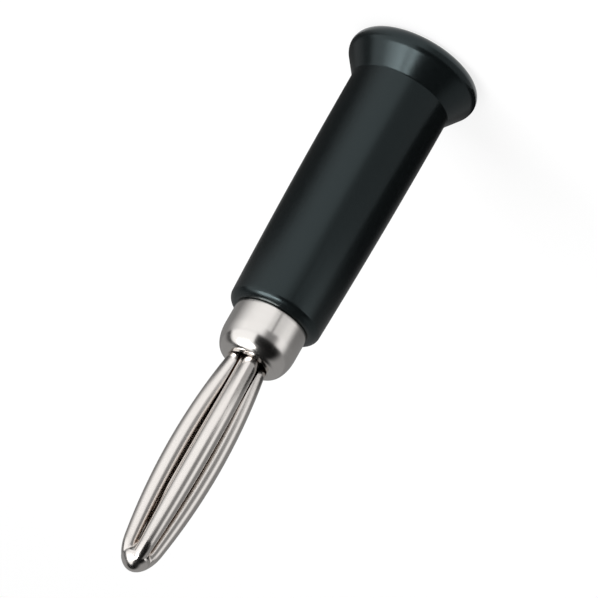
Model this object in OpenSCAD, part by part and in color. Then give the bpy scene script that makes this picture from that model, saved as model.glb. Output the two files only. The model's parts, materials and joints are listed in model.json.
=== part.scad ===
// Banana plug of the 4 mm class: a moulded handle that screws onto a turned plug body,
// and a contact spring with four bowed leaves and a closed nose over the body's core pin.
// Frame: origin at the centre of the flange's flat rear face, +Z towards the nose.

/* [Handle] */
// Length of the handle from its rear face to its front face
handle_len = 24.6; // [22:0.1:40]
// Diameter of the grip where it meets the flange
grip_rear_d = 8.16; // [7.6:0.02:9.4]
// Diameter of the grip at its front end
grip_front_d = 7.46; // [7.2:0.02:9]
// Rounding of the grip's front edge
grip_edge_r = 0.7; // [0.2:0.05:0.8]
// Diameter of the flange
flange_d = 10.8; // [10.2:0.1:14]
// Length of the flange from the rear face to the grip
flange_len = 3.25; // [2.8:0.05:4.5]
// Rounding of the flange's rear edge
flange_edge_r = 0.95; // [0.3:0.05:1.2]
// Rounding of the flange's front edge
flange_brow_r = 1.15; // [0.8:0.05:1.6]
// Fillet between the flange and the grip
flange_root_r = 0.3; // [0.1:0.05:0.6]
// Diameter of the cable bore
cable_d = 3.6; // [2:0.1:4]
// Length of the cable bore
cable_land = 5; // [3:0.1:7]
// Rounding of the cable bore's mouth
cable_lip_r = 0.4; // [0.1:0.05:0.6]
// Diameter of the wire cavity
cavity_d = 4.4; // [4.1:0.1:4.8]

/* [Plug body] */
// Diameter of the collar
collar_d = 5.94; // [5.7:0.02:6.2]
// Length of the collar from the handle to its mouth
collar_len = 3.95; // [3:0.05:6]
// Reach of the collar's rounded shoulder towards the axis
shoulder_w = 1; // [0.4:0.02:1.2]
// Length of the rounded shoulder along the axis
shoulder_len = 2.05; // [0.6:0.05:2.6]
// Chamfer of the collar's rear edge
collar_chamfer = 0.1; // [0.05:0.01:0.2]
// Diameter of the core pin
core_d = 2.04; // [1.8:0.02:2.1]
// Chamfer of the core pin's end
core_chamfer = 0.15; // [0.05:0.01:0.3]
// Outer diameter of the shank's thread
thread_d = 4.8; // [4.6:0.05:5]
// Length of the threaded shank
thread_len = 6; // [4:0.1:8]
// Width of the thread's run-out groove under the collar
relief_w = 0.8; // [0.4:0.1:1.2]
// Depth of the run-out groove
relief_depth = 0.4; // [0.2:0.05:0.5]
// Outer diameter of the solder cup
cup_d = 3.7; // [3.4:0.05:3.9]
// Length of the solder cup
cup_len = 5; // [4:0.1:6]
// Bore of the solder cup
cup_bore_d = 2.6; // [1.6:0.05:2.8]
// Depth of the solder cup's bore
cup_depth = 4.2; // [3:0.1:5]
// Length of the open scoop at the cup's end
scoop_len = 1.8; // [1:0.1:2.4]
// Chamfer at the shank's rear end and at the handle's thread
lead_in = 0.25; // [0.1:0.05:0.35]

/* [Contact spring] */
// Length of the spring that stands out of the collar
spring_len = 18.7; // [17:0.1:22]
// Free diameter over the bowed leaves
bulge_d = 4.48; // [4.2:0.02:5]
// Distance of the widest place from the collar's mouth
bulge_at = 8.3; // [7:0.1:10]
// Diameter over the leaf tails in the collar
tail_d = 3.16; // [3:0.02:3.4]
// Length of the leaf tails, which stand on the floor of the collar's recess
tail_len = 1.8; // [1:0.1:2.2]
// Length of the rounded nose
nose_len = 2.2; // [1.8:0.1:3]
// Diameter over the leaves where the nose begins
neck_d = 3.22; // [3:0.02:3.5]
// Sheet thickness of the spring
sheet = 0.25; // [0.15:0.01:0.3]
// Radius of a leaf's rounded section at mid length
leaf_mid_r = 0.76; // [0.72:0.01:0.9]
// Radius of a leaf's rounded section at its tail
leaf_tail_r = 0.55; // [0.45:0.01:0.6]
// Radius of a leaf's rounded section at the nose
leaf_nose_r = 0.4; // [0.36:0.01:0.5]
// Angle that a leaf's section curls to on each side
leaf_curl = 128; // [110:1:130]
// Distance of the slits' front ends from the tip
slit_from_tip = 1.5; // [1.3:0.05:1.7]
// Length of the round cap at the tip
cap_len = 0.85; // [0.6:0.05:1]

/* [Fits] */
// Radial clearance between the shank and the handle's thread
thread_clear = 0.06; // [0.03:0.01:0.1]
// Radial clearance between the leaf tails and the recess
tail_clear = 0.02; // [0.01:0.01:0.05]
// Gap between the core pin's end and the slits' front ends
core_gap = 0.15; // [0.1:0.05:0.4]
// Least gap between the leaf edges and the core pin
leaf_gap = 0.15; // [0.1:0.01:0.25]

/* [Hidden] */

// Facets of a full turn
TURN = 96;
$fn = TURN;
// Points in a quarter of a rounding
ARC_STEPS = 8;
// Steps along the grip's crowned side
CROWN_STEPS = 8;
// A cut runs this far past a face
over = 1;

flange_r = flange_d / 2;
grip_rear_r = grip_rear_d / 2;
grip_front_r = grip_front_d / 2;
thread_r = thread_d / 2;
collar_r = collar_d / 2;
core_r = core_d / 2;
cup_r = cup_d / 2;
cable_r = cable_d / 2;

mouth_z = handle_len + collar_len;
recess_r = tail_d / 2 + tail_clear;
recess_z = mouth_z - tail_len;
shank_z = handle_len - thread_len;
cup_z = shank_z - cup_len;
thread_bore_r = thread_r + thread_clear;
// The handle's thread runs past the shank's end by one lead-in
thread_bore_z = shank_z - lead_in;

// Points of an arc about [r, z], from angle a0 to a1, with 0 along +r and 90 along +z
function arc(centre, radius, a0, a1, steps = ARC_STEPS) = [
    for (i = [0 : steps])
        let (a = a0 + (a1 - a0) * i / steps)
        [centre[0] + radius * cos(a), centre[1] + radius * sin(a)]
];

// The flange's front is a cone that touches the brow's rounding and ends on the grip
brow_centre = [flange_r - flange_brow_r, flange_edge_r];
flare_reach = [grip_rear_r - brow_centre[0], flange_len - brow_centre[1]];
flare_angle = atan2(flare_reach[1], flare_reach[0]) - acos(flange_brow_r / norm(flare_reach));
root_shift = flange_root_r * tan(flare_angle / 2);
root_centre = [grip_rear_r + flange_root_r, flange_len + root_shift];
crown_z0 = root_centre[1];
crown_z1 = handle_len - grip_edge_r;

// The grip's side is a parabola, steepest at the front
function grip_r(z) =
    grip_rear_r - (grip_rear_r - grip_front_r) * pow((z - crown_z0) / (crown_z1 - crown_z0), 2);

module handle_outline() {
    rear_edge = arc([flange_r - flange_edge_r, flange_edge_r], flange_edge_r, -90, 0);
    brow = arc(brow_centre, flange_brow_r, 0, flare_angle);
    root = arc(root_centre, flange_root_r, 180 + flare_angle, 180);
    crown = [
        for (i = [1 : CROWN_STEPS])
            let (z = crown_z0 + (crown_z1 - crown_z0) * i / CROWN_STEPS)
            [grip_r(z), z]
    ];
    front_edge = arc([grip_front_r - grip_edge_r, crown_z1], grip_edge_r, 0, 90);
    polygon(concat(
        [[0, 0]],
        rear_edge,
        [for (i = [1 : ARC_STEPS]) brow[i]],
        root,
        crown,
        [for (i = [1 : ARC_STEPS]) front_edge[i]],
        [[0, handle_len]]
    ));
}

// Flared mouth of the cable bore: a quarter round turned about the axis
module cable_lip() {
    rotate_extrude()
        difference() {
            translate([0, -over])
                square([cable_r + cable_lip_r, over + cable_lip_r]);
            translate([cable_r + cable_lip_r, cable_lip_r])
                circle(r = cable_lip_r);
        }
}

module handle() {
    color([0.10, 0.12, 0.125])
        difference() {
            rotate_extrude()
                handle_outline();
            translate([0, 0, -over])
                cylinder(h = cable_land + 2 * over, r = cable_r);
            cable_lip();
            translate([0, 0, cable_land])
                cylinder(h = handle_len - cable_land, d = cavity_d);
            translate([0, 0, thread_bore_z])
                cylinder(h = thread_len + lead_in + over, r = thread_bore_r);
            translate([0, 0, handle_len - lead_in])
                cylinder(h = lead_in, r1 = thread_bore_r, r2 = thread_bore_r + lead_in);
        }
}

// Tip of the spring, front ends of its slits, and the start of the core pin's chamfer behind them
tip_z = mouth_z + spring_len;
slit_z = tip_z - slit_from_tip;
core_top = slit_z - core_gap - core_chamfer;

module plug_body_outline() {
    shoulder_reach = min(shoulder_w, collar_r - recess_r);
    shoulder = [
        for (p = arc([0, 0], 1, 0, 90))
            [collar_r + shoulder_reach * (p[0] - 1), mouth_z + shoulder_len * (p[1] - 1)]
    ];
    polygon(concat(
        [
            [0, cup_z],
            [cup_r, cup_z],
            [cup_r, shank_z],
            [thread_r - lead_in, shank_z],
            [thread_r, shank_z + lead_in],
            [thread_r, handle_len - relief_w],
            [thread_r - relief_depth, handle_len - relief_w],
            [thread_r - relief_depth, handle_len],
            [collar_r - collar_chamfer, handle_len],
            [collar_r, handle_len + collar_chamfer]
        ],
        shoulder,
        [[0, mouth_z]]
    ));
}

module plug_body() {
    color([0.80, 0.79, 0.77]) {
        difference() {
            rotate_extrude()
                plug_body_outline();
            translate([0, 0, recess_z])
                cylinder(h = tail_len + over, r = recess_r);
            translate([0, 0, cup_z - over])
                cylinder(h = cup_depth + over, d = cup_bore_d);
            translate([-cup_r, 0, cup_z - over])
                cube([2 * cup_r, cup_r + over, scoop_len + over]);
        }
        translate([0, 0, recess_z - over])
            cylinder(h = core_top - recess_z + over, r = core_r);
        translate([0, 0, core_top])
            cylinder(h = core_chamfer, r1 = core_r, r2 = core_r - core_chamfer);
    }
}

// Shape of the spring. Its envelope is two parabolas that meet at the widest place,
// then an ellipse that carries on from the second one to the tip.
LEAVES = 4;
LEAF_STEPS = 8;
WEB_STEPS = 2;
TAIL_RINGS = 2;
LEAF_RINGS = 18;
FRONT_RINGS = 3;
RAMP_RINGS = 4;
CAP_RINGS = 7;
tail_r = tail_d / 2;
bulge_r = bulge_d / 2;
neck_r = neck_d / 2;
bulge_z = mouth_z + bulge_at;
neck_z = tip_z - nose_len;
cap_z = tip_z - cap_len;
neck_slope = 2 * (bulge_r - neck_r) / (neck_z - bulge_z);
// Slope and radius at the neck fix the ellipse that ends at the tip
nose_share = neck_slope * nose_len / neck_r;
nose_start = nose_share / (1 - nose_share);
nose_h = nose_len / (1 - nose_start);
nose_a = neck_r / sqrt(1 - nose_start * nose_start);
nose_z = tip_z - nose_h;

function bow_r(z) =
    z <= mouth_z ? tail_r :
    z <= bulge_z ? bulge_r - (bulge_r - tail_r) * pow((bulge_z - z) / bulge_at, 2) :
    bulge_r - (bulge_r - neck_r) * pow((z - bulge_z) / (neck_z - bulge_z), 2);

// A station is [z, envelope radius, outward normal's share along r, and along z]
function bow_station(z) = [z, bow_r(z), 1, 0];
function nose_station(a) =
    let (n = [cos(a) / nose_a, sin(a) / nose_h])
    [nose_z + nose_h * sin(a), nose_a * cos(a), n[0] / norm(n), n[1] / norm(n)];

// Stations of a stretch, without its upper end, which belongs to the next one
function bow_stretch(z0, z1, rings) = [for (i = [0 : rings - 1]) bow_station(mix(z0, z1, i / rings))];
function nose_stretch(z0, z1, rings) =
    let (a0 = nose_angle(z0), a1 = nose_angle(z1))
    [for (i = [0 : rings - 1]) nose_station(mix(a0, a1, i / rings))];
function nose_angle(z) = asin(min(1, (z - nose_z) / nose_h));
STATIONS = concat(
    bow_stretch(recess_z, mouth_z, TAIL_RINGS),
    bow_stretch(mouth_z, neck_z, LEAF_RINGS),
    nose_stretch(neck_z, slit_z, FRONT_RINGS),
    nose_stretch(slit_z, cap_z, RAMP_RINGS),
    nose_stretch(cap_z, tip_z, CAP_RINGS)
);

function mix(a, b, t) = a + (b - a) * t;
function smooth(t) = let (u = max(0, min(1, t))) u * u * (3 - 2 * u);

// A leaf's section is an arc whose radius falls off towards both its ends
function leaf_r(z) =
    z < bulge_z
        ? mix(leaf_mid_r, leaf_tail_r, min(1, pow((bulge_z - z) / bulge_at, 2)))
        : mix(leaf_mid_r, leaf_nose_r, min(1, pow((z - bulge_z) / (cap_z - bulge_z), 4)));
// Its point at this curl angle, seen from the axis with the leaf straight ahead
function leaf_point(centre, radius, curl) = [centre + radius * cos(curl), radius * sin(curl)];

// Half the angle between two leaves, and the half seam that a leaf's edge keeps clear of
half_pitch = 180 / LEAVES;
half_seam = 2;
edge_limit = half_pitch - half_seam;
// Angle that a leaf's columns still span on the round cap
cap_curl = half_pitch / 2;

// Curl angle at which an arc about [0, centre] is this far from the axis
function curl_at_reach(centre, radius, reach) =
    let (share = (pow(reach, 2) - pow(centre, 2) - pow(radius, 2)) / (2 * centre * radius))
    centre > 0 ? acos(max(-1, min(1, share))) : 0;
// Curl angle at which it comes to the edge limit, seen from the axis
function curl_at_limit(centre, radius) =
    let (
        across = centre * sin(edge_limit),
        reach = centre * cos(edge_limit) + sqrt(max(0, pow(radius, 2) - pow(across, 2)))
    )
    atan2(reach * sin(edge_limit), reach * cos(edge_limit) - centre);

// One point of a ring: column counts through a leaf and then the web to the next leaf.
// In front of a slit's end the web is the groove's floor, which rises to the round cap.
COLUMNS = LEAF_STEPS + WEB_STEPS;
function ring_point(station, leaf, column, depth) =
    let (
        z = station[0],
        lobe = min(leaf_r(z), station[1]),
        centre = station[1] - lobe,
        slit_curl = min(
            leaf_curl,
            curl_at_limit(centre, lobe),
            curl_at_reach(centre, lobe, core_r + leaf_gap)
        ),
        slit_reach = norm(leaf_point(centre, lobe, slit_curl)),
        floor_r = mix(slit_reach, station[1], smooth((z - slit_z) / (cap_z - slit_z))),
        curl = max(cap_curl, curl_at_reach(centre, lobe, floor_r)),
        turn = curl * (min(column, LEAF_STEPS) / LEAF_STEPS * 2 - 1),
        wall = depth * station[2],
        on_leaf = leaf_point(centre, lobe - wall, turn),
        edge = leaf_point(centre, lobe, curl),
        edge_polar = atan2(edge[1], edge[0]),
        past = (column - LEAF_STEPS) / WEB_STEPS,
        polar = past > 0
            ? mix(edge_polar, 2 * half_pitch - edge_polar, past)
            : atan2(on_leaf[1], on_leaf[0]),
        reach = past > 0 ? floor_r - wall : max(norm(on_leaf), floor_r - wall),
        around = polar + leaf * 2 * half_pitch
    )
    [reach * sin(around), reach * cos(around), z - depth * station[3]];

RING = LEAVES * COLUMNS;
RINGS = len(STATIONS);
SHELL = RING * RINGS;

function shell_points(depth) = [
    for (station = STATIONS, leaf = [0 : LEAVES - 1], column = [0 : COLUMNS - 1])
        ring_point(station, leaf, column, depth)
];
spring_points = concat(
    shell_points(0),
    shell_points(sheet),
    [[0, 0, tip_z], [0, 0, tip_z - sheet]]
);
outer_tip = 2 * SHELL;
inner_tip = outer_tip + 1;

function outer_at(ring, column) = ring * RING + (column % RING);
function inner_at(ring, column) = SHELL + outer_at(ring, column);
function is_web(column) = column % COLUMNS >= LEAF_STEPS;
function two(a, b, c, d) = [[a, b, c], [a, c, d]];

// The first ring that has webs between its leaves is the one where the slits end
web_ring = TAIL_RINGS + LEAF_RINGS + FRONT_RINGS;
function filled(ring, column) = !is_web(column) || ring >= web_ring;

skin_faces = [
    for (ring = [0 : RINGS - 2], column = [0 : RING - 1])
        if (filled(ring, column))
            each concat(
                two(
                    outer_at(ring, column), outer_at(ring, column + 1),
                    outer_at(ring + 1, column + 1), outer_at(ring + 1, column)
                ),
                two(
                    inner_at(ring, column), inner_at(ring + 1, column),
                    inner_at(ring + 1, column + 1), inner_at(ring, column + 1)
                )
            )
];
// Both cut edges of every leaf, from its tail to the first web
edge_faces = [
    for (ring = [0 : web_ring - 1], leaf = [0 : LEAVES - 1])
        let (near = leaf * COLUMNS, far = near + LEAF_STEPS)
        each concat(
            two(
                outer_at(ring, near), outer_at(ring + 1, near),
                inner_at(ring + 1, near), inner_at(ring, near)
            ),
            two(
                outer_at(ring, far), inner_at(ring, far),
                inner_at(ring + 1, far), outer_at(ring + 1, far)
            )
        )
];
// End of every tail, and the bottom of every slit
end_faces = [
    for (column = [0 : RING - 1])
        let (ring = is_web(column) ? web_ring : 0)
        each two(
            outer_at(ring, column), inner_at(ring, column),
            inner_at(ring, column + 1), outer_at(ring, column + 1)
        )
];
tip_faces = [
    for (column = [0 : RING - 1])
        each [
            [outer_at(RINGS - 1, column), outer_at(RINGS - 1, column + 1), outer_tip],
            [inner_at(RINGS - 1, column + 1), inner_at(RINGS - 1, column), inner_tip]
        ]
];

module contact_spring() {
    color([0.86, 0.85, 0.83])
        polyhedron(points = spring_points, faces = concat(skin_faces, edge_faces, end_faces, tip_faces));
}

handle();
plug_body();
contact_spring();
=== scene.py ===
"""Scene of a banana plug: three pieces as fine surfaces, their finishes, the light and the camera.

Lengths are in millimetres until a mesh is made, in the part's own frame: the origin is the centre
of the flange's rear face, and +Z runs along the axis to the nose.
"""

import json
import math

import bpy
import numpy as np
from mathutils import Matrix, Vector


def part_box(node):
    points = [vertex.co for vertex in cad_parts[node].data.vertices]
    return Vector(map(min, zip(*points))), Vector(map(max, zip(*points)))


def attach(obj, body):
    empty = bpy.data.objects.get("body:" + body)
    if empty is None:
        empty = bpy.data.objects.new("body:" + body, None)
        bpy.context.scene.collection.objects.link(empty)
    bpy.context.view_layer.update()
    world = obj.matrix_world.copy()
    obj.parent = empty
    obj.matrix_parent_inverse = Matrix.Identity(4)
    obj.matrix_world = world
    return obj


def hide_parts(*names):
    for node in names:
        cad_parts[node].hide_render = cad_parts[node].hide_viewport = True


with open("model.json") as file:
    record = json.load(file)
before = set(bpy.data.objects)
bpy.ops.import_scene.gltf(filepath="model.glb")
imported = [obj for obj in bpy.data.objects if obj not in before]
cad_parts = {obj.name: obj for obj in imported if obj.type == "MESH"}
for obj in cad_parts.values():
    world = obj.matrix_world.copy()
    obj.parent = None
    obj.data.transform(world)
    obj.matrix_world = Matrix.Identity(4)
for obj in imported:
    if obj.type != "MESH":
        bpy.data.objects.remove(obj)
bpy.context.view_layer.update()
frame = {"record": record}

MM = 0.001
# Lengths closer than SAME count as one, and no divisor is below TINY
SAME = 1e-6
TINY = 1e-9


def solid_box(node):
    """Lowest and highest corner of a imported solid, in millimetres."""
    low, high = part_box(node)
    return np.array(low) / MM, np.array(high) / MM


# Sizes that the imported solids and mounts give
_, handle_high = solid_box("handle")
body_low, body_high = solid_box("plug_body")
spring_low, spring_high = solid_box("contact_spring")
mounts = {mount["name"]: mount for mount in frame["record"]["mounts"]}

handle_len = handle_high[2]
flange_r = handle_high[0]
collar_r = body_high[0]
cup_z = body_low[2]
core_tip_z = body_high[2]
recess_z = spring_low[2]
tip_z = spring_high[2]
bulge_r = spring_high[0]
cable_r = mounts["cable_entry"]["dims"]["r_mm"]
cup_bore_r = mounts["solder_cup"]["dims"]["r_mm"]
cup_depth = mounts["solder_cup"]["dims"]["length_mm"]
mouth_z = mounts["contact"]["pos_m"][2] / MM

# Handle
GRIP_REAR_R = 4.08
GRIP_FRONT_R = 3.73
GRIP_EDGE_R = 0.7
FLANGE_LEN = 3.25
FLANGE_EDGE_R = 0.95
FLANGE_BROW_R = 1.15
FLANGE_ROOT_R = 0.3
CABLE_LAND = 5.0
CABLE_LIP_R = 0.4
CAVITY_R = 2.2

# Thread of the shank and of the handle: the flat of its crest and root as a share of the flank's
# height, and the share of a pitch over which it runs out
THREAD_R = 2.4
THREAD_LEN = 6.0
THREAD_PITCH = 0.8
THREAD_DEPTH = 0.38
THREAD_CLEAR = 0.06
THREAD_FLAT = 0.18
THREAD_RUN_OUT = 0.5
LEAD_IN = 0.25
shank_z = handle_len - THREAD_LEN

# Plug body
SHOULDER_W = 1.0
SHOULDER_LEN = 2.05
COLLAR_CHAMFER = 0.1
CORE_GAP = 0.15
CORE_END_R = 0.3
RELIEF_W = 0.8
RELIEF_DEPTH = 0.4
CUP_R = 1.85
SCOOP_LEN = 1.8
# Half width of the scoop's steep edges, as a sine of the angle about the axis
SCOOP_EDGE = 0.03

# Contact spring: angles in degrees, and leaf radii at the bulge, the tail and the nose
LEAVES = 4
BULGE_AT = 8.3
TAIL_R = 1.58
TAIL_CLEAR = 0.02
NOSE_LEN = 2.2
NECK_R = 1.61
SHEET = 0.25
LEAF_MID_R = 0.8
LEAF_TAIL_R = 0.69
LEAF_NOSE_R = 0.5
LEAF_CURL = 155.0
HALF_SEAM = 2.0
RAMP_FROM_TIP = 2.2
CAP_LEN = 0.45
GROOVE_R = 1.17
GROOVE_NOSE_R = 0.66
GROOVE_NOSE_FALL = 5.5
CREASE = 0.24
CREASE_RISE = 0.4
neck_z = tip_z - NOSE_LEN
bulge_z = mouth_z + BULGE_AT
ramp_z = tip_z - RAMP_FROM_TIP
cap_z = tip_z - CAP_LEN
half_pitch = math.pi / LEAVES

# The nose is an ellipse that carries on from the bow's slope and radius at the neck
neck_slope = 2 * (bulge_r - NECK_R) / (neck_z - bulge_z)
nose_share = neck_slope * NOSE_LEN / NECK_R
nose_start = nose_share / (1 - nose_share)
nose_h = NOSE_LEN / (1 - nose_start)
nose_a = NECK_R / math.sqrt(1 - nose_start**2)
nose_z = tip_z - nose_h

# Steps of the grids: along a rounding, a short face, a long side and so on, then round the axis
ARC_ROWS = 16
ROOT_ROWS = 8
SHORT_ROWS = 2
LEAD_ROWS = 3
CUP_FLOOR_ROWS = 4
FACE_ROWS = 6
SIDE_ROWS = 8
CUP_ROWS = 20
SHOULDER_ROWS = 32
CROWN_ROWS = 32
CORE_ROWS = 59
THREAD_ROWS = 80
HANDLE_COLUMNS = 256
BODY_COLUMNS = 192
SCOOP_COLUMNS = 13
LEAF_COLUMNS = 36
WEB_COLUMNS = 14
TAIL_RINGS = 6
LEAF_RINGS = 120
RAMP_RINGS = 40
CAP_RINGS = 20
# Reach of the scoop's close columns and of the room that they take, in half widths of its edge
SCOOP_SPAN = 1.2
SCOOP_ROOM = 1.4
# Radius of the ring about a pole, as a share of the flat face's radius
POLE_SHARE = 0.05

# Faces that meet at more than this many degrees keep a crisp edge
SHARP_ANGLE = 32.0
NO_TRIANGLES = np.zeros((0, 3), np.int64)


def line(start, end, steps=1):
    """Points of a straight stretch of an outline, with both ends: start + (end - start) * share."""
    share = np.linspace(0, 1, steps + 1)[:, None]
    return np.array(start) + (np.array(end) - np.array(start)) * share


def arc(centre, radius, start, end, steps=ARC_ROWS):
    """Points of a round stretch: centre + radius * (cosine, sine) of an angle in degrees."""
    angle = np.radians(np.linspace(start, end, steps + 1))
    return np.array(centre) + radius * np.stack([np.cos(angle), np.sin(angle)], 1)


def smooth(share):
    """Smooth step: 3 u^2 - 2 u^3 of the share held between 0 and 1."""
    u = np.clip(share, 0, 1)
    return u * u * (3 - 2 * u)


def mix(a, b, share):
    """Straight mix of two values: a at share 0, b at share 1."""
    return a + (b - a) * share


def soft_maximum(a, b, width):
    """The larger of two values, plus width * h^2 / 4 where h = 1 - |a - b| / width is above 0."""
    near = np.clip(1 - np.abs(a - b) / np.maximum(width, SAME), 0, 1)
    return np.maximum(a, b) + width * near**2 / 4


def joined(*stretches):
    """One outline from stretches that meet end to end, without their doubled points."""
    points = np.concatenate(stretches)
    apart = np.linalg.norm(np.diff(points, axis=0), axis=1) > SAME
    return points[np.concatenate([[True], apart])]


def revolved(radius, height, theta):
    """Points at (radius cos theta, radius sin theta, height), for grids of radius and height."""
    return np.stack([radius * np.cos(theta), radius * np.sin(theta), height], -1).reshape(-1, 3)


def grid_quads(index, closed_rows):
    """Quads of a grid of vertex numbers whose columns run all the way round, and rows if closed."""
    below = index if closed_rows else index[:-1]
    above = np.roll(index, -1, 0) if closed_rows else index[1:]
    corners = [below, np.roll(below, -1, 1), np.roll(above, -1, 1), above]
    return np.stack(corners, -1).reshape(-1, 4)


def make_piece(name, points, quads, triangles, material, body, node):
    """A mesh object from arrays of points in millimetres and of faces, in place of a solid."""
    corners = np.concatenate([quads.ravel(), triangles.ravel()]).astype(np.int64)
    used, corners = np.unique(corners, return_inverse=True)
    totals = np.concatenate([np.full(len(quads), 4), np.full(len(triangles), 3)])
    starts = np.concatenate([[0], np.cumsum(totals)[:-1]])
    mesh = bpy.data.meshes.new(name)
    mesh.vertices.add(len(used))
    mesh.vertices.foreach_set("co", (points[used] * MM).astype(np.float32).ravel())
    mesh.loops.add(len(corners))
    mesh.loops.foreach_set("vertex_index", corners.astype(np.int32))
    mesh.polygons.add(len(totals))
    mesh.polygons.foreach_set("loop_start", starts.astype(np.int32))
    mesh.polygons.foreach_set("use_smooth", np.ones(len(totals), bool))
    mesh.update(calc_edges=True)
    mesh.validate()
    mesh.set_sharp_from_angle(angle=math.radians(SHARP_ANGLE))
    mesh.materials.append(material)
    piece = bpy.data.objects.new(name, mesh)
    bpy.context.scene.collection.objects.link(piece)
    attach(piece, body)
    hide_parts(node)


def thread_wave(turns):
    """Section of a thread over one pitch: 0 on the crest, 1 at the root, straight flanks between.

    It is a triangle wave made taller by a flat at both ends and cut off at 0 and 1.
    """
    triangle = np.abs(2 * (turns % 1) - 1)
    return np.clip((1 + 2 * THREAD_FLAT) * triangle - THREAD_FLAT, 0, 1)


def thread_cut(z, low, high, theta):
    """Depth of a helical groove: the wave of (z / pitch - turn), which runs out at both ends."""
    run_out = THREAD_RUN_OUT * THREAD_PITCH
    fade = smooth((z - low) / run_out) * smooth((high - z) / run_out)
    turns = z[:, None] / THREAD_PITCH - theta[None] / (2 * np.pi)
    return THREAD_DEPTH * fade[:, None] * thread_wave(turns)


def handle_outline():
    """The handle's section, once round: cable lip, flange, cone, grip, front edge and bores.

    The flange's front is a cone that touches the brow's rounding and ends on the grip, and the
    grip's side is a parabola, steepest at the front. With it come a mask of the threaded rows and
    the thread's two ends.
    """
    brow_centre = np.array([flange_r - FLANGE_BROW_R, FLANGE_EDGE_R])
    reach = np.array([GRIP_REAR_R, FLANGE_LEN]) - brow_centre
    slope = math.atan2(reach[1], reach[0])
    flare = math.degrees(slope - math.acos(FLANGE_BROW_R / np.hypot(*reach)))
    root_z = FLANGE_LEN + FLANGE_ROOT_R * math.tan(math.radians(flare / 2))
    crown_top = handle_len - GRIP_EDGE_R
    crown_z = np.linspace(root_z, crown_top, CROWN_ROWS + 1)
    crown_share = (crown_z - root_z) / (crown_top - root_z)
    crown = np.stack([mix(GRIP_REAR_R, GRIP_FRONT_R, crown_share**2), crown_z], 1)
    bore_r = THREAD_R + THREAD_CLEAR
    bore_z = shank_z - LEAD_IN
    thread_top = handle_len - LEAD_IN
    lip_r = cable_r + CABLE_LIP_R
    outline = joined(
        arc([lip_r, CABLE_LIP_R], CABLE_LIP_R, 180, 270),
        line([lip_r, 0], [flange_r - FLANGE_EDGE_R, 0], FACE_ROWS),
        arc([flange_r - FLANGE_EDGE_R, FLANGE_EDGE_R], FLANGE_EDGE_R, -90, 0),
        arc(brow_centre, FLANGE_BROW_R, 0, flare),
        arc([GRIP_REAR_R + FLANGE_ROOT_R, root_z], FLANGE_ROOT_R, 180 + flare, 180, ROOT_ROWS),
        crown,
        arc([GRIP_FRONT_R - GRIP_EDGE_R, crown_top], GRIP_EDGE_R, 0, 90),
        line([GRIP_FRONT_R - GRIP_EDGE_R, handle_len], [bore_r + LEAD_IN, handle_len]),
        line([bore_r + LEAD_IN, handle_len], [bore_r, thread_top]),
        line([bore_r, thread_top], [bore_r, bore_z], THREAD_ROWS),
        line([bore_r, bore_z], [CAVITY_R, bore_z]),
        line([CAVITY_R, bore_z], [CAVITY_R, CABLE_LAND], SIDE_ROWS),
        line([CAVITY_R, CABLE_LAND], [cable_r, CABLE_LAND]),
        line([cable_r, CABLE_LAND], [cable_r, CABLE_LIP_R], FACE_ROWS),
    )
    on_thread = np.abs(outline[:, 0] - bore_r) < SAME
    return outline[:-1], on_thread[:-1], bore_z, thread_top


def make_handle(material):
    """The moulded handle: its section about the axis, with a helical groove in the front bore."""
    outline, on_thread, low, high = handle_outline()
    theta = np.arange(HANDLE_COLUMNS) * 2 * np.pi / HANDLE_COLUMNS
    cut = on_thread[:, None] * thread_cut(outline[:, 1], low, high, theta)
    radius = outline[:, :1] + cut
    height = np.broadcast_to(outline[:, 1:], radius.shape)
    index = np.arange(radius.size).reshape(radius.shape)
    points = revolved(radius, height, theta)
    make_piece(
        "handle_shell", points, grid_quads(index, True), NO_TRIANGLES,
        material, "handle", "handle",
    )


def body_columns():
    """Angles round the plug body, closer together at the two edges of the cup's scoop."""
    span = SCOOP_SPAN * math.asin(SCOOP_EDGE)
    near = np.linspace(-span, span, SCOOP_COLUMNS)
    even = np.arange(BODY_COLUMNS) * 2 * np.pi / BODY_COLUMNS
    clear = even[np.abs(np.sin(even)) > SCOOP_ROOM * SCOOP_EDGE]
    return np.sort(np.concatenate([clear, near % (2 * np.pi), near + np.pi]))


def groove_reach(z):
    """Least distance of the leaves' edges from the axis: it falls smoothly towards the nose."""
    return mix(GROOVE_NOSE_R, GROOVE_R, smooth((neck_z - z) / GROOVE_NOSE_FALL))


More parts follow.
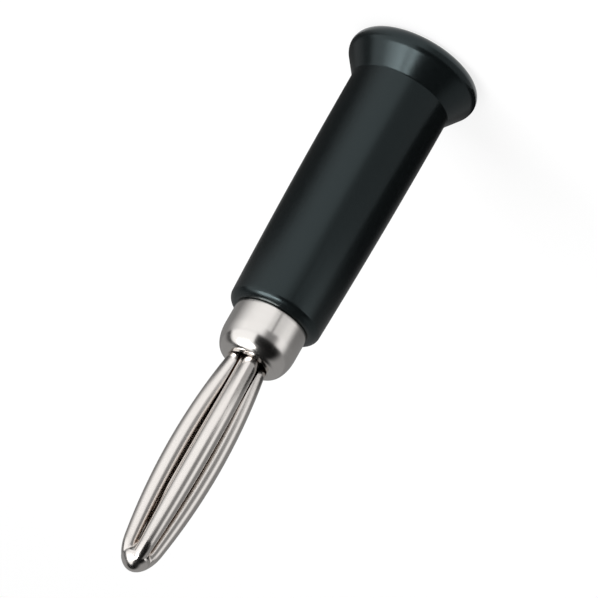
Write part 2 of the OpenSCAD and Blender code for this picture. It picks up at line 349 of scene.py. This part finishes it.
def body_outline():
    """The plug body's section from the cup's floor to the core's tip.

    The core keeps a gap to the leaves' edges and ends in a thin pin at the nose. With the outline
    come each point's share in the scoop, a mask of the threaded rows and the thread's front end.
    The share is 1 at the cup's end and falls evenly to 0 at the cup's floor and at the shank.
    """
    floor_z = cup_z + cup_depth
    recess_r = TAIL_R + TAIL_CLEAR
    relief_r = THREAD_R - RELIEF_DEPTH
    relief_z = handle_len - RELIEF_W
    edge_r = collar_r - COLLAR_CHAMFER
    edge_z = handle_len + COLLAR_CHAMFER
    core_z = np.linspace(recess_z, neck_z - CORE_GAP, CORE_ROWS + 1)
    core = np.stack([groove_reach(core_z) - CORE_GAP, core_z], 1)
    core_end_z = core_z[-1]
    shoulder_turn = arc([-1, -1], 1, 0, 90, SHOULDER_ROWS)
    shoulder = np.array([collar_r, mouth_z]) + shoulder_turn * [SHOULDER_W, SHOULDER_LEN]
    outline = joined(
        line([POLE_SHARE * cup_bore_r, floor_z], [cup_bore_r, floor_z], CUP_FLOOR_ROWS),
        line([cup_bore_r, floor_z], [cup_bore_r, cup_z], CUP_ROWS),
        line([CUP_R, cup_z], [CUP_R, shank_z], CUP_ROWS),
        line([CUP_R, shank_z], [THREAD_R - LEAD_IN, shank_z]),
        line([THREAD_R - LEAD_IN, shank_z], [THREAD_R, shank_z + LEAD_IN], LEAD_ROWS),
        line([THREAD_R, shank_z + LEAD_IN], [THREAD_R, relief_z], THREAD_ROWS),
        line([THREAD_R, relief_z], [relief_r, relief_z]),
        line([relief_r, relief_z], [relief_r, handle_len], SHORT_ROWS),
        line([relief_r, handle_len], [edge_r, handle_len], SHORT_ROWS),
        arc([edge_r, edge_z], COLLAR_CHAMFER, -90, 0, FACE_ROWS),
        line([collar_r, edge_z], [collar_r, mouth_z - SHOULDER_LEN], SIDE_ROWS),
        shoulder,
        line([collar_r - SHOULDER_W, mouth_z], [recess_r, mouth_z]),
        line([recess_r, mouth_z], [recess_r, recess_z], FACE_ROWS),
        line([recess_r, recess_z], core[0], SHORT_ROWS),
        core,
        line(core[-1], [CORE_END_R, core_end_z]),
        line([CORE_END_R, core_end_z], [CORE_END_R, core_tip_z], SHORT_ROWS),
        line([CORE_END_R, core_tip_z], [POLE_SHARE * CORE_END_R, core_tip_z]),
    )
    r, z = outline.T
    inside = (floor_z - z) / cup_depth
    outside = (shank_z - z) / (shank_z - cup_z)
    share = np.clip(np.where(r <= cup_bore_r + SAME, inside, outside), 0, 1)
    on_cup = (z <= max(floor_z, shank_z) + SAME) & (r <= CUP_R + SAME)
    on_thread = (np.abs(r - THREAD_R) < SAME) & (z <= relief_z + SAME)
    return outline, np.where(on_cup, share, 0), on_thread, relief_z


def make_plug_body(material):
    """The turned body: its section about the axis, with a helical thread and a scooped solder cup.

    The scoop lifts the cup's end by a steep smooth step of the sine of the angle, so the half of
    the cup towards +Y ends short of the other.
    """
    outline, scoop_share, on_thread, relief_z = body_outline()
    theta = body_columns()
    cut = on_thread[:, None] * thread_cut(outline[:, 1], shank_z, relief_z, theta)
    radius = outline[:, :1] - cut
    open_half = smooth(np.sin(theta) / (2 * SCOOP_EDGE) + 0.5)
    height = outline[:, 1:] + SCOOP_LEN * scoop_share[:, None] * open_half[None]
    index = np.arange(radius.size).reshape(radius.shape)
    floor, tip = radius.size, radius.size + 1
    poles = np.array([[0, 0, cup_z + cup_depth], [0, 0, core_tip_z]])
    points = np.concatenate([revolved(radius, height, theta), poles])
    first, last = index[0], index[-1]
    triangles = np.concatenate([
        np.stack([np.full_like(first, floor), np.roll(first, -1), first], 1),
        np.stack([last, np.roll(last, -1), np.full_like(last, tip)], 1),
    ])
    make_piece(
        "plug_body_turned", points, grid_quads(index, False), triangles,
        material, "plug", "plug_body",
    )


def spring_stations():
    """Height, envelope radius and outward normal (along r, along z) of every ring of the spring.

    The envelope is two parabolas that meet at the bulge, then the nose's ellipse.
    """
    bow_z = np.concatenate([
        np.linspace(recess_z, mouth_z, TAIL_RINGS, endpoint=False),
        np.linspace(mouth_z, neck_z, LEAF_RINGS, endpoint=False),
    ])
    rear = bulge_r - (bulge_r - TAIL_R) * ((bulge_z - bow_z) / BULGE_AT) ** 2
    front = bulge_r - (bulge_r - NECK_R) * ((bow_z - bulge_z) / (neck_z - bulge_z)) ** 2
    bow_r = np.where(bow_z <= mouth_z, TAIL_R, np.where(bow_z <= bulge_z, rear, front))
    bend = np.arcsin(np.minimum(1, (np.array([neck_z, cap_z, tip_z]) - nose_z) / nose_h))
    angle = np.concatenate([
        np.linspace(bend[0], bend[1], RAMP_RINGS, endpoint=False),
        np.linspace(bend[1], bend[2], CAP_RINGS, endpoint=False),
    ])
    normal = np.stack([np.cos(angle) / nose_a, np.sin(angle) / nose_h])
    normal /= np.linalg.norm(normal, axis=0)
    z = np.concatenate([bow_z, nose_z + nose_h * np.sin(angle)])
    envelope = np.concatenate([bow_r, nose_a * np.cos(angle)])
    along_r = np.concatenate([np.ones_like(bow_z), normal[0]])
    along_z = np.concatenate([np.zeros_like(bow_z), normal[1]])
    return z[:, None], envelope[:, None], along_r[:, None], along_z[:, None]


def curl_at_reach(centre, radius, reach):
    """Angle on an arc about (centre, 0) at which it is this far from the axis: the cosine rule."""
    bottom = np.maximum(2 * centre * radius, TINY)
    share = (reach**2 - centre**2 - radius**2) / bottom
    return np.where(centre > SAME, np.arccos(np.clip(share, -1, 1)), 0)


def curl_at_limit(centre, radius):
    """Angle on the same arc at which it is half a seam from the plane between two leaves."""
    limit = half_pitch - math.radians(HALF_SEAM)
    across = centre * np.sin(limit)
    reach = centre * np.cos(limit) + np.sqrt(np.maximum(0, radius**2 - across**2))
    return np.arctan2(reach * np.sin(limit), reach * np.cos(limit) - centre)


def spring_wall(depth):
    """Points of the spring's outer wall, or of the inner one at a depth, as rings.

    A leaf's section is an arc that touches the envelope. Its radius falls off from the bulge with
    the square of the distance towards the tail and the nose. In front of a slit's end the web is
    the groove's floor, which rises to the envelope by a smooth step and there becomes the round
    cap. A leaf shows where its arc stands proud of that floor, and a soft maximum of the two
    rounds the crease between them.
    """
    z, envelope, along_r, along_z = spring_stations()
    rear_share = np.minimum(1, ((bulge_z - z) / BULGE_AT) ** 2)
    front_share = np.minimum(1, ((z - bulge_z) / (cap_z - bulge_z)) ** 2)
    rear = mix(LEAF_MID_R, LEAF_TAIL_R, rear_share)
    front = mix(LEAF_MID_R, LEAF_NOSE_R, front_share)
    lobe = np.minimum(np.where(z < bulge_z, rear, front), envelope)
    centre = envelope - lobe
    slit_curl = np.minimum(curl_at_limit(centre, lobe), curl_at_reach(centre, lobe, groove_reach(z)))
    slit_curl = np.minimum(slit_curl, math.radians(LEAF_CURL))
    slit_reach = np.hypot(centre + lobe * np.cos(slit_curl), lobe * np.sin(slit_curl))
    floor = mix(slit_reach, envelope, smooth((z - ramp_z) / (cap_z - ramp_z)))
    curl = np.maximum(half_pitch / 2, curl_at_reach(centre, lobe, floor))
    edge = np.arctan2(lobe * np.sin(curl), centre + lobe * np.cos(curl))
    wall = depth * along_r

    turn = curl * np.linspace(-1, 1, LEAF_COLUMNS + 1)[None]
    out = centre + (lobe - wall) * np.cos(turn)
    side = (lobe - wall) * np.sin(turn)
    crease_start = smooth((z - neck_z) / CREASE_RISE)
    crease_end = 1 - smooth((z - neck_z) / (cap_z - neck_z))
    crease = CREASE * crease_start * crease_end
    leaf_reach = soft_maximum(np.hypot(out, side), floor - wall, crease)
    leaf_polar = np.arctan2(side, out)

    past = np.linspace(0, 1, WEB_COLUMNS, endpoint=False)[None, 1:]
    web_polar = mix(edge, 2 * half_pitch - edge, past)
    # The soft maximum of two equal values lies a quarter of its width above them
    web_reach = np.broadcast_to(floor - wall + crease / 4, web_polar.shape)

    reach = np.concatenate([leaf_reach, web_reach], 1)[:, None]
    polar = np.concatenate([leaf_polar, web_polar], 1)[:, None]
    around = polar + 2 * half_pitch * np.arange(LEAVES)[None, :, None]
    height = np.broadcast_to((z - depth * along_z)[:, None], around.shape)
    points = np.stack([reach * np.sin(around), reach * np.cos(around), height], -1)
    return points.reshape(len(z), -1, 3)


def make_contact_spring(material):
    """The spring: both walls, the leaves' cut edges, the ends of tails and slits, and the tip."""
    outer, inner = spring_wall(0.0), spring_wall(SHEET)
    rings, columns = outer.shape[:2]
    outs = np.arange(rings * columns).reshape(rings, columns)
    ins = outs + outs.size
    tips = np.array([[0, 0, tip_z], [0, 0, tip_z - SHEET]])
    points = np.concatenate([outer.reshape(-1, 3), inner.reshape(-1, 3), tips])
    outer_tip, inner_tip = len(points) - 2, len(points) - 1

    web_ring = TAIL_RINGS + LEAF_RINGS
    pitch = columns // LEAVES
    in_web = np.arange(columns) % pitch >= LEAF_COLUMNS
    filled = (~in_web[None]) | (np.arange(rings - 1)[:, None] >= web_ring)
    skin_out = grid_quads(outs, False)[filled.ravel()][:, ::-1]
    skin_in = grid_quads(ins, False)[filled.ravel()]

    near = np.arange(LEAVES) * pitch
    far = near + LEAF_COLUMNS
    low, high = slice(0, web_ring), slice(1, web_ring + 1)
    near_edge = [outs[low, near], ins[low, near], ins[high, near], outs[high, near]]
    far_edge = [outs[low, far], outs[high, far], ins[high, far], ins[low, far]]
    ring = np.where(in_web, web_ring, 0)
    column = np.arange(columns)
    following = (column + 1) % columns
    ends = [outs[ring, column], outs[ring, following], ins[ring, following], ins[ring, column]]
    walls = [np.stack(part, -1).reshape(-1, 4) for part in (near_edge, far_edge, ends)]
    quads = np.concatenate([skin_out, skin_in, *walls])

    last_out, last_in = outs[-1], ins[-1]
    triangles = np.concatenate([
        np.stack([np.roll(last_out, -1), last_out, np.full(columns, outer_tip)], 1),
        np.stack([last_in, np.roll(last_in, -1), np.full(columns, inner_tip)], 1),
    ])
    make_piece(
        "contact_spring_leaves", points, quads, triangles,
        material, "plug", "contact_spring",
    )


# Finishes: detail and roughness of the marks' noise, then for the painted shade in gaps its reach,
# colour, rays and the open shares of the hemisphere at which a surface is wholly shaded and wholly
# unshaded
MARKS_DETAIL = 4.0
MARKS_ROUGHNESS = 0.6
MARKS_MEAN = 0.5
# Painted shade: a dark brown colour painted into gaps and creases by ambient occlusion
SHADE_REACH = 0.8
GAP_SHADE_COLOUR = (0.36, 0.27, 0.21)
SHADE_RAYS = 8
SHADED_BELOW = 0.2
UNSHADED_ABOVE = 0.75


def new_group(name, inputs, outputs):
    """An empty shader node group with named sockets, its entry node and its exit node."""
    group = bpy.data.node_groups.new(name, "ShaderNodeTree")
    for in_out, sockets in (("INPUT", inputs), ("OUTPUT", outputs)):
        for socket, kind in sockets.items():
            group.interface.new_socket(socket, in_out=in_out, socket_type=kind)
    return group, group.nodes.new("NodeGroupInput"), group.nodes.new("NodeGroupOutput")


NUMBER = "NodeSocketFloat"
VECTOR = "NodeSocketVector"
COLOUR = "NodeSocketColor"


def fine_marks_group():
    """Fine surface marks: noise on the object's own coordinates, stretched along x, y and z.

    Tone is the noise, Roughness swings about a level by a spread, and Height drives a bump.
    """
    group, entry, leave = new_group(
        "fine_marks",
        {"Stretch": VECTOR, "Level": NUMBER, "Spread": NUMBER},
        {"Tone": NUMBER, "Roughness": NUMBER, "Height": NUMBER},
    )
    nodes, links = group.nodes, group.links
    place = nodes.new("ShaderNodeTexCoord")
    mapping = nodes.new("ShaderNodeMapping")
    noise = nodes.new("ShaderNodeTexNoise")
    centred = nodes.new("ShaderNodeMath")
    swing = nodes.new("ShaderNodeMath")
    noise.inputs["Scale"].default_value = 1.0
    noise.inputs["Detail"].default_value = MARKS_DETAIL
    noise.inputs["Roughness"].default_value = MARKS_ROUGHNESS
    centred.operation = "SUBTRACT"
    centred.inputs[1].default_value = MARKS_MEAN
    swing.operation = "MULTIPLY_ADD"
    swing.use_clamp = True
    links.new(place.outputs["Object"], mapping.inputs["Vector"])
    links.new(entry.outputs["Stretch"], mapping.inputs["Scale"])
    links.new(mapping.outputs["Vector"], noise.inputs["Vector"])
    links.new(noise.outputs["Fac"], centred.inputs[0])
    links.new(centred.outputs[0], swing.inputs[0])
    links.new(entry.outputs["Spread"], swing.inputs[1])
    links.new(entry.outputs["Level"], swing.inputs[2])
    links.new(noise.outputs["Fac"], leave.inputs["Tone"])
    links.new(swing.outputs[0], leave.inputs["Roughness"])
    links.new(noise.outputs["Fac"], leave.inputs["Height"])
    return group


def gap_shade_group():
    """Painted shade in gaps: the unshaded colour in the open, a painted dark shade where the surface
    is shut in.

    The share of the unshaded colour is a smooth step of the part of the hemisphere that nothing
    blocks within a reach.
    """
    group, entry, leave = new_group(
        "gap_tarnish", {"Bare": COLOUR, "Stain": COLOUR, "Reach": NUMBER}, {"Colour": COLOUR}
    )
    nodes, links = group.nodes, group.links
    # Ambient occlusion decides where the painted shade darkens the colour
    gap = nodes.new("ShaderNodeAmbientOcclusion")
    share = nodes.new("ShaderNodeMapRange")
    shade_mix = nodes.new("ShaderNodeMix")
    gap.samples = SHADE_RAYS
    share.interpolation_type = "SMOOTHSTEP"
    share.inputs["From Min"].default_value = SHADED_BELOW
    share.inputs["From Max"].default_value = UNSHADED_ABOVE
    shade_mix.data_type = "RGBA"
    links.new(entry.outputs["Reach"], gap.inputs["Distance"])
    links.new(gap.outputs["AO"], share.inputs["Value"])
    links.new(share.outputs[0], shade_mix.inputs["Factor"])
    links.new(entry.outputs["Stain"], shade_mix.inputs["A"])
    links.new(entry.outputs["Bare"], shade_mix.inputs["B"])
    links.new(shade_mix.outputs["Result"], leave.inputs["Colour"])
    return group


FINE_MARKS = fine_marks_group()
GAP_SHADE_GROUP = gap_shade_group()


def finish_material(name, colours, stretch, roughness, spread, bump, metallic, painted_shade=None):
    """A finish: two close colours mixed by the marks' tone, their roughness and their bump.

    The bump's height is in millimetres. A painted shade colour takes the place of both in deep gaps.
    """
    material = bpy.data.materials.new(name)
    material.use_nodes = True
    nodes, links = material.node_tree.nodes, material.node_tree.links
    shader = nodes["Principled BSDF"]
    marks = nodes.new("ShaderNodeGroup")
    marks.node_tree = FINE_MARKS
    marks.inputs["Stretch"].default_value = stretch
    marks.inputs["Level"].default_value = roughness
    marks.inputs["Spread"].default_value = spread
    tint = nodes.new("ShaderNodeMix")
    tint.data_type = "RGBA"
    tint.inputs["A"].default_value = (*colours[0], 1)
    tint.inputs["B"].default_value = (*colours[1], 1)
    relief = nodes.new("ShaderNodeBump")
    relief.inputs["Strength"].default_value = 1.0
    relief.inputs["Distance"].default_value = bump * MM
    shader.inputs["Metallic"].default_value = metallic
    links.new(marks.outputs["Tone"], tint.inputs["Factor"])
    colour = tint.outputs["Result"]
    # Painted shade: the colour is darkened in gaps by ambient occlusion
    if painted_shade:
        gap = nodes.new("ShaderNodeGroup")
        gap.node_tree = GAP_SHADE_GROUP
        gap.inputs["Stain"].default_value = (*painted_shade, 1)
        gap.inputs["Reach"].default_value = SHADE_REACH * MM
        links.new(colour, gap.inputs["Bare"])
        colour = gap.outputs["Colour"]
    links.new(colour, shader.inputs["Base Color"])
    links.new(marks.outputs["Roughness"], shader.inputs["Roughness"])
    links.new(marks.outputs["Height"], relief.inputs["Height"])
    links.new(relief.outputs["Normal"], shader.inputs["Normal"])
    return material


def black_plastic():
    """Semi-gloss moulded plastic, near black with a cool green cast and a faint even grain."""
    material = finish_material(
        "black_plastic",
        colours=((0.0042, 0.0058, 0.0062), (0.0062, 0.0080, 0.0084)),
        stretch=(2600, 2600, 2600), roughness=0.24, spread=0.08, bump=0.0015, metallic=0.0,
    )
    shader = material.node_tree.nodes["Principled BSDF"]
    shader.inputs["Specular Tint"].default_value = (0.76, 0.96, 1.0, 1)
    return material


def turned_nickel():
    """Bright nickel on a turned part: marks that run round the axis and change along it."""
    return finish_material(
        "turned_nickel",
        colours=((0.76, 0.73, 0.70), (0.82, 0.795, 0.77)),
        stretch=(120, 120, 5200), roughness=0.18, spread=0.06, bump=0.0001, metallic=1.0,
        # Painted shade: the colour darkens in gaps and creases
        painted_shade=GAP_SHADE_COLOUR,
    )


def polished_spring():
    """Bright nickel on formed spring sheet: polishing marks that run along the leaves."""
    return finish_material(
        "polished_spring",
        colours=((0.80, 0.755, 0.72), (0.85, 0.815, 0.785)),
        stretch=(4200, 4200, 160), roughness=0.19, spread=0.06, bump=0.0001, metallic=1.0,
        # Painted shade: the colour darkens in the grooves between the leaves
        painted_shade=GAP_SHADE_COLOUR,
    )


make_handle(black_plastic())
make_plug_body(turned_nickel())
make_contact_spring(polished_spring())

# Camera: its place about the plug in degrees, then a point of the axis, the pixel that shows it,
# the scale there and the axis's tilt in the picture
CAMERA_AZIMUTH = -8.5
CAMERA_ELEVATION = 23.0
CAMERA_DISTANCE = 350.0
AXIS_POINT_Z = 23.26
AXIS_POINT_PIXEL = (279.9, 307.0)
MM_PER_PIXEL = 0.075
AXIS_TILT = math.radians(29.73)
FRAME_PIXELS = 598
SENSOR_WIDTH = 36.0
CLIP_METRES = (0.01, 10.0)


def towards(azimuth, elevation):
    """Unit vector at an azimuth from the camera's side, positive to its right, and an elevation."""
    a, e = math.radians(azimuth + CAMERA_AZIMUTH), math.radians(elevation)
    return Vector((-math.sin(a) * math.cos(e), -math.cos(a) * math.cos(e), math.sin(e)))


def make_camera():
    """Camera near the -Y side, looking down at the axis, with the nose down and to the left.

    Its right and up directions are the axis as seen and the line across it, turned by the tilt.
    """
    back = towards(0, CAMERA_ELEVATION)
    along = towards(180, 90 - CAMERA_ELEVATION)
    across = towards(-90, 0)
    right = -math.cos(AXIS_TILT) * across - math.sin(AXIS_TILT) * along
    up = math.sin(AXIS_TILT) * across - math.cos(AXIS_TILT) * along
    off_right = (FRAME_PIXELS / 2 - AXIS_POINT_PIXEL[0]) * MM_PER_PIXEL
    off_up = (AXIS_POINT_PIXEL[1] - FRAME_PIXELS / 2) * MM_PER_PIXEL
    aim = Vector((0, 0, AXIS_POINT_Z))
    place = aim + CAMERA_DISTANCE * back + off_right * right + off_up * up
    data = bpy.data.cameras.new("camera")
    data.sensor_width = SENSOR_WIDTH
    data.lens = SENSOR_WIDTH * CAMERA_DISTANCE / (FRAME_PIXELS * MM_PER_PIXEL)
    data.clip_start, data.clip_end = CLIP_METRES
    camera = bpy.data.objects.new("camera", data)
    turn = Matrix((right, up, back)).transposed().to_4x4()
    camera.matrix_world = Matrix.Translation(place * MM) @ turn
    bpy.context.scene.collection.objects.link(camera)
    bpy.context.scene.camera = camera


# Stage: the point that the lamps face, the floor, and the cards on it and on the dome
LIGHT_AIM = Vector((0, 0, 24.0))
WORLD_LIGHT = 0.5
FLOOR_HALF = 1500.0
FLOOR_DROP = 0.01
FLOOR_GLOW = 0.80
FLOOR_GREY = 0.26
FLOOR_BOUNCE = 0.6
CARD_LIFT = 0.02
CARD_STEPS = 48
DOME_R = 900.0
DOME_GAP = 10.0
SHARPEST_FADE = 0.002


def softbox(name, azimuth, elevation, distance, width, height, radiance, in_gloss):
    """A rectangular lamp of even radiance that faces the plug: power = radiance * pi * area."""
    data = bpy.data.lights.new(name, "AREA")
    data.shape = "RECTANGLE"
    data.size = width * MM
    data.size_y = height * MM
    data.energy = radiance * math.pi * width * height * MM * MM
    lamp = bpy.data.objects.new(name, data)
    direction = towards(azimuth, elevation)
    lamp.location = (LIGHT_AIM + direction * distance) * MM
    lamp.rotation_mode = "QUATERNION"
    lamp.rotation_quaternion = direction.to_track_quat("Z", "Y")
    lamp.visible_camera = False
    lamp.visible_glossy = in_gloss
    bpy.context.scene.collection.objects.link(lamp)


def stage_object(name, points, faces, material):
    """A stage mesh from points in millimetres."""
    mesh = bpy.data.meshes.new(name)
    mesh.from_pydata((np.array(points, float) * MM).tolist(), [], faces)
    mesh.materials.append(material)
    piece = bpy.data.objects.new(name, mesh)
    bpy.context.scene.collection.objects.link(piece)
    return piece


def bare_material(name):
    """A material with nothing but its output node: it, its nodes, its links and that node."""
    material = bpy.data.materials.new(name)
    material.use_nodes = True
    nodes, links = material.node_tree.nodes, material.node_tree.links
    nodes.clear()
    return material, nodes, links, nodes.new("ShaderNodeOutputMaterial")


def combined(nodes, links, operation, first, second):
    """Socket of a math node that combines two others."""
    node = nodes.new("ShaderNodeMath")
    node.operation = operation
    links.new(first, node.inputs[0])
    links.new(second, node.inputs[1])
    return node.outputs[0]


def background_rays(nodes, links):
    """Socket that is 1 for rays that see the white background: camera, gloss and transmission."""
    path = nodes.new("ShaderNodeLightPath").outputs
    gloss, through = path["Is Glossy Ray"], path["Is Transmission Ray"]
    mirrored = combined(nodes, links, "MAXIMUM", gloss, through)
    return combined(nodes, links, "MAXIMUM", path["Is Camera Ray"], mirrored)


def floor_material():
    """White floor: as a background a glow with a grey shaded share, so that it keeps the shadow."""
    material, nodes, links, leave = bare_material("pale_floor")
    glow = nodes.new("ShaderNodeEmission")
    glow.inputs["Strength"].default_value = FLOOR_GLOW
    shade = nodes.new("ShaderNodeBsdfDiffuse")
    shade.inputs["Color"].default_value = (FLOOR_GREY, FLOOR_GREY, FLOOR_GREY, 1)
    bounce = nodes.new("ShaderNodeBsdfDiffuse")
    bounce.inputs["Color"].default_value = (FLOOR_BOUNCE, FLOOR_BOUNCE, FLOOR_BOUNCE, 1)
    both = nodes.new("ShaderNodeAddShader")
    choice = nodes.new("ShaderNodeMixShader")
    links.new(glow.outputs[0], both.inputs[0])
    links.new(shade.outputs[0], both.inputs[1])
    links.new(background_rays(nodes, links), choice.inputs[0])
    links.new(bounce.outputs[0], choice.inputs[1])
    links.new(both.outputs[0], choice.inputs[2])
    links.new(choice.outputs[0], leave.inputs["Surface"])
    return material


def make_floor():
    """Plain square floor just under the flange."""
    h, z = FLOOR_HALF, -FLOOR_DROP
    corners = [(-h, -h, z), (h, -h, z), (h, h, z), (-h, h, z)]
    stage_object("floor", corners, [(0, 1, 2, 3)], floor_material())


def make_world():
    """White sky as a background, and an even fill for everything else."""
    world = bpy.data.worlds.new("studio")
    bpy.context.scene.world = world
    world.use_nodes = True
    nodes, links = world.node_tree.nodes, world.node_tree.links
    sky = nodes["Background"]
    level = nodes.new("ShaderNodeMix")
    level.inputs["A"].default_value = WORLD_LIGHT
    level.inputs["B"].default_value = 1.0
    sky.inputs["Color"].default_value = (1, 1, 1, 1)
    links.new(background_rays(nodes, links), level.inputs["Factor"])
    links.new(level.outputs["Result"], sky.inputs["Strength"])


def card_material(name, strength, fades):
    """An even glow that fades towards its four sides, by smooth steps over shares of its UV map."""
    material, nodes, links, leave = bare_material(name)
    place = nodes.new("ShaderNodeUVMap")
    parts = nodes.new("ShaderNodeSeparateXYZ")
    links.new(place.outputs["UV"], parts.inputs[0])
    first, last, near, far = np.maximum(fades, SHARPEST_FADE)
    mask = None
    for axis, start, end in (("X", 0, first), ("X", 1, 1 - last), ("Y", 0, near), ("Y", 1, 1 - far)):
        ramp = nodes.new("ShaderNodeMapRange")
        ramp.interpolation_type = "SMOOTHSTEP"
        ramp.inputs["From Min"].default_value = start
        ramp.inputs["From Max"].default_value = end
        links.new(parts.outputs[axis], ramp.inputs["Value"])
        side = ramp.outputs[0]
        mask = side if mask is None else combined(nodes, links, "MULTIPLY", mask, side)
    glow = nodes.new("ShaderNodeEmission")
    glow.inputs["Strength"].default_value = strength
    clear = nodes.new("ShaderNodeBsdfTransparent")
    choice = nodes.new("ShaderNodeMixShader")
    links.new(mask, choice.inputs[0])
    links.new(clear.outputs[0], choice.inputs[1])
    links.new(glow.outputs[0], choice.inputs[2])
    links.new(choice.outputs[0], leave.inputs["Surface"])
    return material


def gloss_card(name, points, strength, fades):
    """A card that only gloss sees: a square grid of points, with a UV map along rows and columns."""
    index = np.arange((CARD_STEPS + 1) ** 2).reshape(CARD_STEPS + 1, -1)
    corners = [index[:-1, :-1], index[1:, :-1], index[1:, 1:], index[:-1, 1:]]
    faces = np.stack(corners, -1).reshape(-1, 4)
    material = card_material(name, strength, fades)
    card = stage_object(name, points.reshape(-1, 3), faces.tolist(), material)
    share = np.stack(np.divmod(faces.ravel(), CARD_STEPS + 1), 1) / CARD_STEPS
    card.data.uv_layers.new(name="UVMap").data.foreach_set("uv", share.ravel())
    card.visible_camera = False
    card.visible_diffuse = False
    card.visible_shadow = False
    card.visible_transmission = False


def card_grid(azimuth, other):
    """Azimuth in radians and a card's other measure, as grids with azimuth along the rows."""
    angle = np.radians(np.linspace(*azimuth, CARD_STEPS + 1) + CAMERA_AZIMUTH)
    return np.meshgrid(angle, np.linspace(*other, CARD_STEPS + 1), indexing="ij")


def floor_card(name, azimuth, reach, strength, fades, layer):
    """A card on the floor: the sector between two azimuths and two distances from the axis."""
    angle, distance = card_grid(azimuth, reach)
    lift = np.full_like(angle, CARD_LIFT * layer)
    points = np.stack([-np.sin(angle) * distance, -np.cos(angle) * distance, lift], -1)
    gloss_card(name, points, strength, fades)


def sky_card(name, azimuth, elevation, strength, fades, layer):
    """A card on a dome about the plug: the patch between two azimuths and two elevations."""
    angle, rise = card_grid(azimuth, np.radians(elevation))
    across = np.cos(rise)
    points = np.stack([-np.sin(angle) * across, -np.cos(angle) * across, np.sin(rise)], -1)
    gloss_card(name, points * (DOME_R - DOME_GAP * layer), strength, fades)


make_camera()
make_world()
make_floor()
softbox(
    "key_box", azimuth=-52, elevation=46, distance=320, width=200, height=170,
    radiance=5.5, in_gloss=True,
)
softbox(
    "top_box", azimuth=150, elevation=70, distance=380, width=220, height=220,
    radiance=0.9, in_gloss=False,
)

# Cards on the floor, which shape what the upright sides mirror: grey behind and at both sides, the
# handle's half tone, dark flag and shade, the leaves' dark band and the collar's fine line.
# Each row: azimuths, distances, strength, fades (first and last azimuth, near, far), layer
FLOOR_CARDS = {
    "back_grey": ((62, 300), (6, 1400), 0.24, (0.12, 0.26, 0, 0), 1),
    "front_mid": ((-8, 69), (6, 58), 0.38, (0.22, 0.005, 0, 0), 2),
    "right_flag": ((69, 165), (6, 58), 0.012, (0.005, 0.55, 0, 0), 3),
    "leaf_band": ((-12, 54), (66, 1400), 0.24, (0.35, 0.35, 0.01, 0), 4),
    "left_shade": ((-160, -34), (6, 58), 0.07, (0.2, 0.5, 0, 0), 6),
    "collar_line": ((11, 21), (58, 72), 0.22, (0.4, 0.4, 0, 0), 5),
}
# Cards on the dome, which shape what the shoulder, the nose and the flange mirror: a dark tent all
# round, and lit patches in it. Each row: azimuths, elevations, strength, fades, layer
SKY_CARDS = {
    "dark_tent": ((-185, 185), (-1, 91), 0.005, (0, 0, 0, 0), 0),
    "left_window": ((-104, -14), (-1, 88), 1.15, (0.15, 0.06, 0, 0.1), 1),
    "flange_light": ((-28, -7), (36, 60), 16.0, (0.45, 0.45, 0.4, 0.4), 3),
    "back_wall": ((62, 258), (-1, 62), 0.30, (0.14, 0.14, 0, 0.3), 2),
}
for card_name, card_values in FLOOR_CARDS.items():
    floor_card(card_name, *card_values)
for card_name, card_values in SKY_CARDS.items():
    sky_card(card_name, *card_values)

bpy.context.scene.view_settings.view_transform = "Standard"
